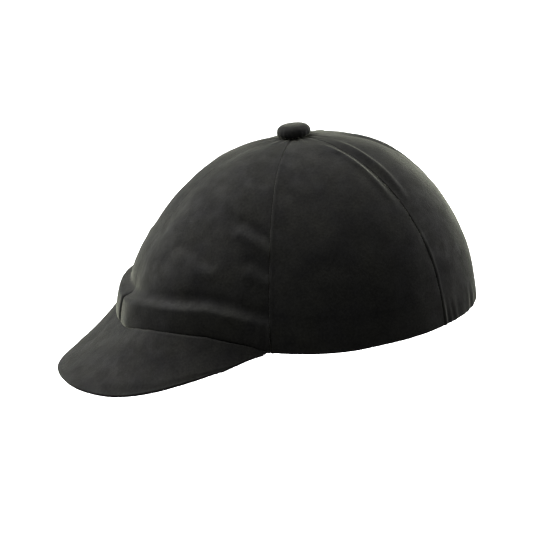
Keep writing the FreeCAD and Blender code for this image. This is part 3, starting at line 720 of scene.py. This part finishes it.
def peak_middle(across, out):
    """Middle surface of the peak: across runs -1 to 1 over its width, out runs 0 to 1 from root to edge."""
    across, out = np.broadcast_arrays(np.asarray(across, float), np.asarray(out, float))
    degrees = across * PEAK_ROOT_AZIMUTH
    azimuth = np.radians(degrees)
    height = join_height(degrees) - 1.6
    play = PEAK_ROOT_PLAY + (PEAK_END_PLAY - PEAK_ROOT_PLAY) * across**4
    root = dome(azimuth, share(height, azimuth))
    spread = unit(root * np.array([1, 1, 0]))
    root = root + spread * play[..., None]
    turn = across * math.radians(PEAK_EDGE_SWEEP)
    rise = PEAK_END_HEIGHT + (PEAK_TIP_HEIGHT - PEAK_END_HEIGHT) * np.cos(turn) ** 2
    reach = PEAK_END_REACH + (PEAK_TIP_REACH - PEAK_END_REACH) * np.cos(turn)
    edge = np.stack([-reach, -PEAK_END_SIDE * np.sin(turn), rise - PEAK_SAG * np.sin(2 * turn) ** 2], -1)
    taper = 1 - 0.7 * ramp(np.abs(across), PEAK_TAPER_START, 1)
    middle = root + (edge - root) * (out * taper)[..., None]
    middle[..., 2] += 4 * PEAK_CROWN * np.cos(turn) * out * (1 - out)
    return middle


def peak_point(across, out, offset):
    step = 0.002
    side = peak_middle(across + step, out) - peak_middle(across - step, out)
    ahead = peak_middle(across, out + step) - peak_middle(across, out - step)
    return peak_middle(across, out) + unit(np.cross(ahead, side)) * np.asarray(offset)[..., None]


def peak_section(across, out, offset, around):
    """A point of the peak's skin; around turns it about the edge, from 0 on top to pi underneath."""
    flat = peak_point(across, out, offset * np.cos(around))
    ahead = unit(peak_point(across, out, 0 * offset) - peak_point(across, out - 0.02, 0 * offset))
    return flat + ahead * (offset * np.sin(around))[..., None]


def peak_grid(across, outs, arounds, offset):
    a, o = np.meshgrid(across, outs, indexing="ij")
    _, r = np.meshgrid(across, arounds, indexing="ij")
    thin_end = 1 - 0.7 * ramp(np.abs(a), 0.75, 1)
    thin_edge = 1 - PEAK_EDGE_THIN * ramp(o, 0.75, 1)
    return peak_section(a, o, offset * thin_end * thin_edge, r)


def make_peak():
    across = np.concatenate([[-1, -0.99], np.linspace(-0.975, 0.975, 149), [0.99, 1]])
    on_top = np.concatenate([[-PEAK_TUCK, -0.03, 0], np.linspace(0, 1, 46)[1:] ** 0.9])
    turn = np.linspace(0, math.pi, 13)[1:-1]
    under = np.linspace(1, WRAP_BACK, 8)
    outs = np.concatenate([on_top, np.ones(len(turn)), under])
    arounds = np.concatenate([0 * on_top, turn, 0 * under + math.pi])
    outer = peak_grid(across, outs, arounds, PEAK_SKIN_TOP)
    inner = peak_grid(across, outs, arounds, PEAK_SKIN_INSIDE)
    waves = unevenness(31, outer, 38, 0.16) + unevenness(32, outer, 13, 0.05)
    outer = outer + waves[..., None] * np.array([0, 0, 1])
    velvet_top = thin("peak_velvet", outer, inner, VELVET, "velvet", nodes=["peak_top_velvet"])

    inner_outs = np.linspace(0.02, WRAP_BACK - 0.02, 30)
    lining_outs = np.concatenate([[0.0, 0.01], inner_outs, [WRAP_BACK - 0.008, WRAP_BACK]])
    down = 0 * lining_outs + math.pi
    raised = LINING_WELT * bump_at(lining_outs - WRAP_BACK + 0.012, 0.012)
    lining_low = peak_grid(across, lining_outs, down, PEAK_LINING_UNDER)
    lining_low[..., 2] -= raised[None, :]
    lining_high = peak_grid(across, lining_outs, down, PEAK_SKIN_INSIDE)
    lining = thin("peak_lining_cloth", lining_low, lining_high, LINING, "lining_cloth", nodes=["peak_lining"])

    core_outs = np.linspace(0.0, 0.985, 24)
    level = 0 * core_outs
    core = thin(
        "peak_core_board",
        peak_grid(across, core_outs, level, PEAK_CORE_HALF),
        peak_grid(across, core_outs, level + math.pi, PEAK_CORE_HALF),
        BOARD,
        "core_board",
        nodes=["peak_core"],
    )
    stitches = make_peak_stitches()
    for made in (velvet_top[0], lining[0], core[0], stitches):
        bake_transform(made)
    cloth(velvet_top, outer)
    cloth(lining, lining_low)


def make_peak_stitches():
    """A row of thread stitches along the lining's edge under the peak."""
    sections, faces = [], []
    for k in range(STITCH_COUNT):
        middle = -STITCH_SPAN / 2 + STITCH_SPAN * (k + 0.5) / STITCH_COUNT
        length = STITCH_SHARE * STITCH_SPAN / STITCH_COUNT
        for t in np.linspace(-0.5, 0.5, 5):
            offset = np.asarray(-STITCH_UNDER - STITCH_SAG * math.cos(math.pi * t))
            here = peak_point(middle + t * length, WRAP_BACK - STITCH_SETBACK, offset)
            thick = STITCH_HALF * math.cos(math.pi * t * 0.8)
            ahead = unit(peak_middle(middle, WRAP_BACK) - peak_middle(middle, WRAP_BACK - 0.05))
            for angle in (0, 1.5708, 3.1416, 4.7124):
                up = np.array([0, 0, thick * math.sin(angle)])
                sections.append(here + ahead * thick * math.cos(angle) + up)
        faces += [[c + k * 20 for c in face] for face in tube_faces(5, 4, False)]
    return piece("peak_lining_stitches", np.array(sections), faces, THREAD, "lining_cloth")[0]


# ---- inside of the hat ----


def wall_patch(azimuths, shares, outer_inset, inner_inset, swell):
    """Wall-side and head-side grids of a pad; swell gives its thickness share at places from 0 to 1."""
    azimuth = np.radians(azimuths)[:, None]
    wall = dome(azimuth, shares[None, :], outer_inset)
    i = np.linspace(0, 1, len(azimuths))[:, None]
    j = np.linspace(0, 1, len(shares))[None, :]
    depth = outer_inset + (inner_inset - outer_inset) * swell(i, j)
    return wall, dome(azimuth, shares[None, :], depth)


def pillow(cells, power=3.0, channel=0.35):
    """Thickness share of a crowned pad with sewn channels across it."""

    def swell(i, j):
        crown = (1 - np.abs(2 * i - 1) ** (power * 4)) * (1 - np.abs(2 * j - 1) ** power)
        sewn = np.abs(np.sin(math.pi * cells * i)) ** 0.45
        return 0.18 + 0.82 * np.maximum(crown, 0) ** 0.6 * (1 - channel + channel * sewn)

    return swell


PAD_OUTER, PAD_INNER = 25.2, 29.5
PAD_LOW, PAD_HIGH = 3.3, 33.7
CROWN_PAD_CELLS = 8
PIPING_DEPTH, PIPING_RADIUS = 0.7, 0.6
PADS = (
    ("front", -49.5, 49.5, 7),
    ("left", 57.5, 117.5, 4),
    ("right", -117.5, -57.5, 4),
    ("rear", 125.5, 234.5, 8),
)


def make_pads():
    shares = np.linspace(PAD_LOW, PAD_HIGH, 34) / (CROWN_HEIGHT - PAD_OUTER)
    for place_name, start, end, cells in PADS:
        azimuths = np.linspace(start, end, 14 * cells + 1)
        wall, head = wall_patch(azimuths, shares, PAD_OUTER, PAD_INNER, pillow(cells))
        name = f"{place_name}_pad"
        made, _ = thin(f"{name}_cushion", head, wall, PAD_CLOTH, "pad_cloth", nodes=[name], body="helmet")
        piping(place_name, azimuths, shares)
    azimuths = np.linspace(0, 360, 145)[:-1]
    shares = wall_shares(math.pi / 2, 0.785, 0.97, 30, (0,))
    around = np.radians(azimuths)[:, None]
    wall = dome(around, shares[None, :], PAD_OUTER)
    across = np.linspace(0, 1, len(shares))[None, :]
    places = np.linspace(0, 1, len(azimuths), endpoint=False)
    sewn = np.abs(np.sin(math.pi * CROWN_PAD_CELLS * places))[:, None] ** 0.45
    crown = 0.18 + 0.82 * (1 - np.abs(2 * across - 1) ** 3) ** 0.6 * (0.65 + 0.35 * sewn)
    depth = PAD_OUTER + (PAD_INNER - PAD_OUTER) * crown
    head = dome(around, shares[None, :], depth)
    nodes = ["crown_pad"]
    made, _ = thin("crown_pad_cushion", head, wall, PAD_CLOTH, "pad_cloth", True, nodes=nodes, body="helmet")


def piping(place_name, azimuths, shares):
    """A thin cord sewn round a band pad's edge."""
    low, high = shares[0], shares[-1]
    along = np.radians(azimuths)
    corner = np.linspace(0, 1, 9)[1:-1]
    path = [(a, low) for a in along]
    path += [(along[-1], low + (high - low) * t) for t in corner]
    path += [(a, high) for a in along[::-1]]
    path += [(along[0], high - (high - low) * t) for t in corner]
    a, s = np.array(path).T
    centre = dome(a, s, PAD_OUTER + PIPING_DEPTH)
    ahead = unit(np.roll(centre, -1, 0) - np.roll(centre, 1, 0))
    inward = unit(dome(a, s, PAD_OUTER + PIPING_DEPTH + 1) - centre)
    beside = unit(np.cross(ahead, inward))
    angle = np.linspace(0, 2 * math.pi, 9)[:-1]
    ring = inward[:, None] * np.cos(angle)[None, :, None] + beside[:, None] * np.sin(angle)[None, :, None]
    points = centre[:, None] + PIPING_RADIUS * ring
    faces = tube_faces(len(a), 8, True)
    piece(f"{place_name}_pad_piping", points.reshape(-1, 3), faces, PAD_CLOTH, "pad_cloth", (), "helmet")


LINING_OUTER, LINING_INNER, LINING_PUFF = 24.15, 24.75, 0.35


def make_lining():
    """Quilted cloth over the inside of the foam."""
    azimuths = np.radians(np.linspace(0, 360, 241)[:-1])[:, None]
    shares = wall_shares(math.pi / 2, 1.5 / 99.9, 0.99999, 110, (0, 0.4, 1.0, 1.8))[None, :]
    run = np.linspace(0, 1, shares.shape[1])[None, :]
    one = np.sin(azimuths * 10 + run * 34)
    other = np.sin(azimuths * 10 - run * 34)
    fade = 1 - ramp(run, 0.8, 0.95)
    sewn = (bump_at(one, 0.22) + bump_at(other, 0.22)) * fade
    wall = dome(azimuths, shares, LINING_OUTER)
    head = dome(azimuths, shares, LINING_INNER + LINING_PUFF * (1 - np.clip(sewn, 0, 1)) * fade)
    nodes = ["inner_lining"]
    made = thin("inner_lining_cloth", head, wall, LINING, "lining_cloth", True, nodes=nodes, body="helmet")
    cloth(made, head, ring=True)


# ---- webbing ----

HINGE_SIDE, HINGE_DROP, FLAP_SLOPE = 95.8, 0.4, math.radians(1)
WEB_THICK, WEB_HALF = 1.6, 8.0
LEG_ROOT, LEG_END, LEG_REACH = -36.0, -9.2, 70.0
BAR_U = 88.7
CHIN_HALF, CHIN_DROP, CHIN_THICK = 7.5, 4.1, 1.15
TAB_OUTER, TAB_INNER = 5.0, 6.4
TAB_LOW, TAB_HIGH = 1.0, 31.8
TAB_HALF_TURN = 4.15
TAB_COLUMNS = 19
TAB_AZIMUTHS = (("left_front", 70), ("left_rear", 110), ("right_front", -70), ("right_rear", -110))
CHIN_LENGTHS = (("left", LEFT, 64), ("right", RIGHT, 57))


def flap(points, side, from_bar=False):
    """Points of the folded harness (along the hat, in from the hinge, up) in the hat frame."""
    x, u, up = np.moveaxis(np.asarray(points, float), -1, 0)
    u = u + (BAR_U if from_bar else 0)
    y = -HINGE_SIDE + u * math.cos(FLAP_SLOPE) - up * math.sin(FLAP_SLOPE)
    z = -HINGE_DROP + u * math.sin(FLAP_SLOPE) + up * math.cos(FLAP_SLOPE)
    return np.stack([side * x, side * y, z], -1)


def ribbon(line, ahead, half, thick):
    """Sections of webbing: a line of (x, u, up) centres, their thickness directions and the half width."""
    centres = np.asarray(line, float)
    count = 25
    across = np.linspace(-1, 1, count)
    rounded = np.sqrt(np.maximum(1 - np.abs(across) ** 10, 0.02))
    ribs = 0.05 * np.sin(across * half * (2 * math.pi / 1.6))
    top = (thick / 2 - 0.06) * rounded + ribs * rounded
    widths = half * across
    upper = centres[:, None] + ahead[:, None] * top[None, :, None]
    lower = centres[:, None] - ahead[:, None] * top[None, :, None]
    upper[..., 0] += widths
    lower[..., 0] += widths
    return upper, lower


def directions(line):
    """Unit thickness directions of a ribbon's side view line, square to it and to its width."""
    way = np.gradient(np.asarray(line, float), axis=0)
    way[:, 0] = 0
    way = unit(way)
    return np.stack([0 * way[:, 0], -way[:, 2], way[:, 1]], -1)


def webbing(name, line, half, thick, side, node, body, from_bar=False):
    upper, lower = ribbon(line, directions(line), half, thick)
    outer, inner = flap(upper, side, from_bar), flap(lower, side, from_bar)
    made = thin(name, outer, inner, WEBBING, "webbing", nodes=[node], body=body)
    cloth(made, outer)


def make_side_strap(place_name, side, body, front):
    """One leg of the strap pair: from the rim, slanted, into the slider."""
    reaches = np.concatenate([[2.3, 2.8, 3.6], np.linspace(5, LEG_REACH, 40)])
    line = np.array([(0, u, 0.0) for u in reaches])
    slant = np.interp(line[:, 1], (2.2, LEG_REACH), (LEG_ROOT, LEG_END))
    line[:, 2] += -0.25 * np.sin(np.clip((line[:, 1] - 4) / 58, 0, 1) * math.pi)
    upper, lower = ribbon(line, directions(line), WEB_HALF, WEB_THICK)
    for rows in (upper, lower):
        rows[..., 0] += slant[:, None]
        if not front:
            rows[..., 0] *= -1
    name = f"{place_name}_{'front' if front else 'rear'}_strap"
    outer, inner = flap(upper, side), flap(lower, side)
    made = thin(f"{name}_webbing", outer, inner, WEBBING, "webbing", nodes=[name], body=body)
    stitching = cross_stitch(f"{name}_stitches", side, body, slant[3] * (1 if front else -1))
    cloth(made, outer)


def cross_stitch(name, side, body, middle):
    """Two rows of thread bars that hold a strap's turned end."""
    points, faces = [], []
    for u in (6.0, 11.0):
        for k in range(9):
            x = middle - 6 + 1.5 * k
            base = len(points)
            for dx, du, up in ((-0.5, 0, -0.85), (0, 0.22, -0.85), (0.5, 0, -0.85), (0, -0.22, -0.85)):
                points.append((x + dx, u + du, up))
            for dx, du in ((-0.5, 0), (0, 0.22), (0.5, 0), (0, -0.22)):
                points.append((x + 0.7 * dx, u + 0.7 * du, -1.0))
            for c in range(4):
                d = (c + 1) % 4
                faces.append([base + c, base + d, base + 4 + d, base + 4 + c])
            faces.append([base + 3, base + 2, base + 1, base])
            faces.append([base + 4, base + 5, base + 6, base + 7])
    return piece(name, flap(points, side), faces, THREAD, "webbing", (), body)[0]


def make_chin_strap(place_name, side, length):
    """Chin webbing: from the buckle end, along under the slider, up and once round the slider's bar."""
    run = [(0, u, -CHIN_DROP) for u in np.linspace(-length, -5.5, 34)]
    rise = [(0, -3.9, -4.0), (0, -2.9, -3.45), (0, -2.2, -2.4), (0, -1.85, -1.2)]
    turn = [(0, -1.72 * math.cos(a), 1.72 * math.sin(a)) for a in np.linspace(0.1, math.pi * 1.42, 15)]
    line = np.array(run + rise + turn)
    body = f"{place_name}_chin"
    webbing(f"{body}_webbing", line, CHIN_HALF, CHIN_THICK, side, f"{body}_strap", body, True)


def make_anchor_tab(corner, azimuth):
    """Webbing tab between the shell and the foam."""
    azimuths = np.radians(azimuth + TAB_HALF_TURN * np.linspace(-1, 1, TAB_COLUMNS))[:, None]
    shares = np.linspace(TAB_LOW, TAB_HIGH, 40)[None, :] / CROWN_HEIGHT
    ribs = 0.07 * np.sin(np.linspace(0, 2 * math.pi * 6, TAB_COLUMNS))[:, None]
    outer = dome(azimuths, shares, TAB_OUTER - ribs)
    inner = dome(azimuths, shares, TAB_INNER + 0 * ribs)
    name = f"anchor_tab_{corner}"
    made = thin(f"{name}_webbing", outer, inner, WEBBING, "webbing", nodes=[name], body="helmet")
    cloth(made, outer)


def make_harness():
    for corner, azimuth in TAB_AZIMUTHS:
        make_anchor_tab(corner, azimuth)
    for place_name, side, run in CHIN_LENGTHS:
        make_side_strap(place_name, side, f"{place_name}_straps", front=(side == LEFT))
        make_side_strap(place_name, side, f"{place_name}_straps", front=(side == RIGHT))
        make_chin_strap(place_name, side, run)


# ---- carried-over parts ----

HARD_PARTS = (
    ("outer_shell", SHELL, "shell_plastic", 0.3),
    ("foam_liner", FOAM, "foam", 0.5),
    ("anchor_rivets", STEEL, "rivet_steel", 0.25),
    ("anchor_washers", STEEL, "rivet_steel", 0.15),
    ("left_slider", MOULDED, "moulded_plastic", 0.7),
    ("right_slider", MOULDED, "moulded_plastic", 0.7),
    ("buckle_socket", MOULDED, "moulded_plastic", 1.0),
    ("buckle_tongue", MOULDED, "moulded_plastic", 0.8),
    ("release_prong_front", MOULDED, "moulded_plastic", 0.4),
    ("release_prong_rear", MOULDED, "moulded_plastic", 0.4),
)


def finish_hard_part(name, material, slot, edge):
    """Gives a carried-over part its material and softly broken edges."""
    thing = frame["nodes"][name]
    thing.data.materials.clear()
    thing.data.materials.append(material)
    weld = thing.modifiers.new("weld", "WELD")
    weld.merge_threshold = 0.002 * MM
    bevel = thing.modifiers.new("bevel", "BEVEL")
    bevel.width = edge * MM
    bevel.segments = 3
    bevel.limit_method = "ANGLE"
    bevel.angle_limit = math.radians(35)
    bevel.harden_normals = True


# ---- stage ----

FLOOR_LEVEL = -0.19
FLOOR_HALF = 6.0
WORLD_STRENGTH = 0.33
# Brightness of the studio by height: straight down, just under level, a little above it, straight up.
SKY_DOWN, SKY_LEVEL, SKY_ABOVE, SKY_UP = 2.0, 0.75, 0.30, 2.6
# Lights: name, place, what they point at, size in metres, power.
LIGHTS = (
    ("overhead", (-0.2, 0.35, 1.3), (0, 0, 0.06), (1.2, 1.0), 88),
    ("front", (-0.95, 1.05, 0.5), (-0.05, 0, 0.04), (0.9, 1.0), 36),
    ("fill", (-0.35, -1.35, -0.1), (0, 0, 0.02), (1.4, 0.5), 9),
    ("back", (1.35, 0.2, 0.4), (0, 0, 0.06), (0.8, 1.2), 44),
)
CAMERA_DISTANCE = 1144.0
CAMERA_AZIMUTH, CAMERA_ELEVATION, CAMERA_ROLL = math.radians(74), math.radians(18.15), math.radians(-5.63)
CAMERA_SENSOR, CAMERA_LENS = 36.0, 103.4423
# The camera points that far to the right of the rim's centre and above it, as it sees them.
AIM_RIGHT, AIM_UP = -29.0531, 18.0775


def make_camera():
    """A camera where the hat looks as it does in the reference: from its left and a little in front."""
    level = math.cos(CAMERA_ELEVATION)
    out, across = -math.cos(CAMERA_AZIMUTH) * level, -math.sin(CAMERA_AZIMUTH) * level
    back = Vector((out, across, math.sin(CAMERA_ELEVATION)))
    right = Vector((math.sin(CAMERA_AZIMUTH), -math.cos(CAMERA_AZIMUTH), 0))
    up = back.cross(right)
    turned_right = right * math.cos(CAMERA_ROLL) + up * math.sin(CAMERA_ROLL)
    turned_up = up * math.cos(CAMERA_ROLL) - right * math.sin(CAMERA_ROLL)
    target = turned_right * AIM_RIGHT + turned_up * AIM_UP
    look = (back * CAMERA_DISTANCE - target).normalized()
    side = turned_up.cross(look).normalized()
    top = look.cross(side)
    spot = HAT @ (back * CAMERA_DISTANCE * MM)
    turn = HAT.to_3x3() @ Matrix((side, top, look)).transposed()
    data = bpy.data.cameras.new("camera")
    data.sensor_width = CAMERA_SENSOR
    data.lens = CAMERA_LENS
    data.clip_end = 20
    thing = bpy.data.objects.new("camera", data)
    thing.matrix_world = Matrix.Translation(spot) @ turn.to_4x4()
    bpy.context.collection.objects.link(thing)
    bpy.context.scene.camera = thing


def area_light(name, spot, aim, size, power):
    data = bpy.data.lights.new(name, "AREA")
    data.shape = "RECTANGLE"
    data.size, data.size_y = size
    data.energy = power
    thing = bpy.data.objects.new(name, data)
    thing.location = spot
    thing.rotation_mode = "QUATERNION"
    thing.rotation_quaternion = (Vector(spot) - Vector(aim)).to_track_quat("Z", "Y")
    bpy.context.collection.objects.link(thing)


def make_world():
    """White to the camera, and a soft studio above and around for everything else."""
    world = bpy.data.worlds.new("studio")
    world.use_nodes = True
    nodes, links = world.node_tree.nodes, world.node_tree.links
    nodes.clear()
    seen = nodes.new("ShaderNodeBackground")
    seen.inputs["Color"].default_value = (1, 1, 1, 1)
    lit = nodes.new("ShaderNodeBackground")
    lit.inputs["Strength"].default_value = WORLD_STRENGTH
    direction = nodes.new("ShaderNodeTexCoord").outputs["Generated"]
    parts = nodes.new("ShaderNodeSeparateXYZ")
    links.new(direction, parts.inputs["Vector"])
    height = nodes.new("ShaderNodeMapRange")
    height.inputs["From Min"].default_value = -1
    height.inputs["From Max"].default_value = 1
    links.new(parts.outputs["Z"], height.inputs["Value"])
    sky = nodes.new("ShaderNodeValToRGB")
    stops = sky.color_ramp.elements
    stops[0].color = (SKY_DOWN, SKY_DOWN, SKY_DOWN, 1)
    stops[1].color = (SKY_UP, SKY_UP, SKY_UP, 1)
    stops.new(0.46).color = (SKY_LEVEL, SKY_LEVEL, SKY_LEVEL, 1)
    stops.new(0.7).color = (SKY_ABOVE, SKY_ABOVE, SKY_ABOVE, 1)
    links.new(height.outputs["Result"], sky.inputs["Fac"])
    links.new(sky.outputs["Color"], lit.inputs["Color"])
    path = nodes.new("ShaderNodeLightPath")
    mix = nodes.new("ShaderNodeMixShader")
    links.new(path.outputs["Is Camera Ray"], mix.inputs["Fac"])
    links.new(lit.outputs["Background"], mix.inputs[1])
    links.new(seen.outputs["Background"], mix.inputs[2])
    output = nodes.new("ShaderNodeOutputWorld")
    links.new(mix.outputs["Shader"], output.inputs["Surface"])
    bpy.context.scene.world = world


def make_floor():
    """A large pale floor well under the hat, clear when seen from below."""
    mesh = bpy.data.meshes.new("floor")
    corners = [(x * FLOOR_HALF, y * FLOOR_HALF, FLOOR_LEVEL) for x, y in ((-1, -1), (1, -1), (1, 1), (-1, 1))]
    mesh.from_pydata(corners, [], [(0, 1, 2, 3)])
    material = bpy.data.materials.new("floor")
    material.use_nodes = True
    nodes, links = material.node_tree.nodes, material.node_tree.links
    surface = nodes["Principled BSDF"]
    surface.inputs["Base Color"].default_value = (0.8, 0.8, 0.8, 1)
    surface.inputs["Emission Color"].default_value = (1, 1, 1, 1)
    surface.inputs["Emission Strength"].default_value = 0.75
    clear = nodes.new("ShaderNodeBsdfTransparent")
    mix = nodes.new("ShaderNodeMixShader")
    links.new(nodes.new("ShaderNodeNewGeometry").outputs["Backfacing"], mix.inputs["Fac"])
    links.new(surface.outputs["BSDF"], mix.inputs[1])
    links.new(clear.outputs["BSDF"], mix.inputs[2])
    links.new(mix.outputs["Shader"], nodes["Material Output"].inputs["Surface"])
    mesh.materials.append(material)
    floor = bpy.data.objects.new("floor", mesh)
    floor.visible_diffuse = False
    floor.visible_glossy = False
    floor.visible_shadow = False
    bpy.context.collection.objects.link(floor)


for gore_kind, gore_start, gore_end, gore_columns in GORES:
    for gore_side in (LEFT, RIGHT):
        make_gore(gore_kind, gore_start, gore_end, gore_columns, gore_side)
make_hem()
make_button()
make_peak()
make_lining()
make_pads()
make_harness()
for part in HARD_PARTS:
    finish_hard_part(*part)

make_camera()
make_world()
make_floor()
for light in LIGHTS:
    area_light(*light)
bpy.context.scene.view_settings.view_transform = "Standard"
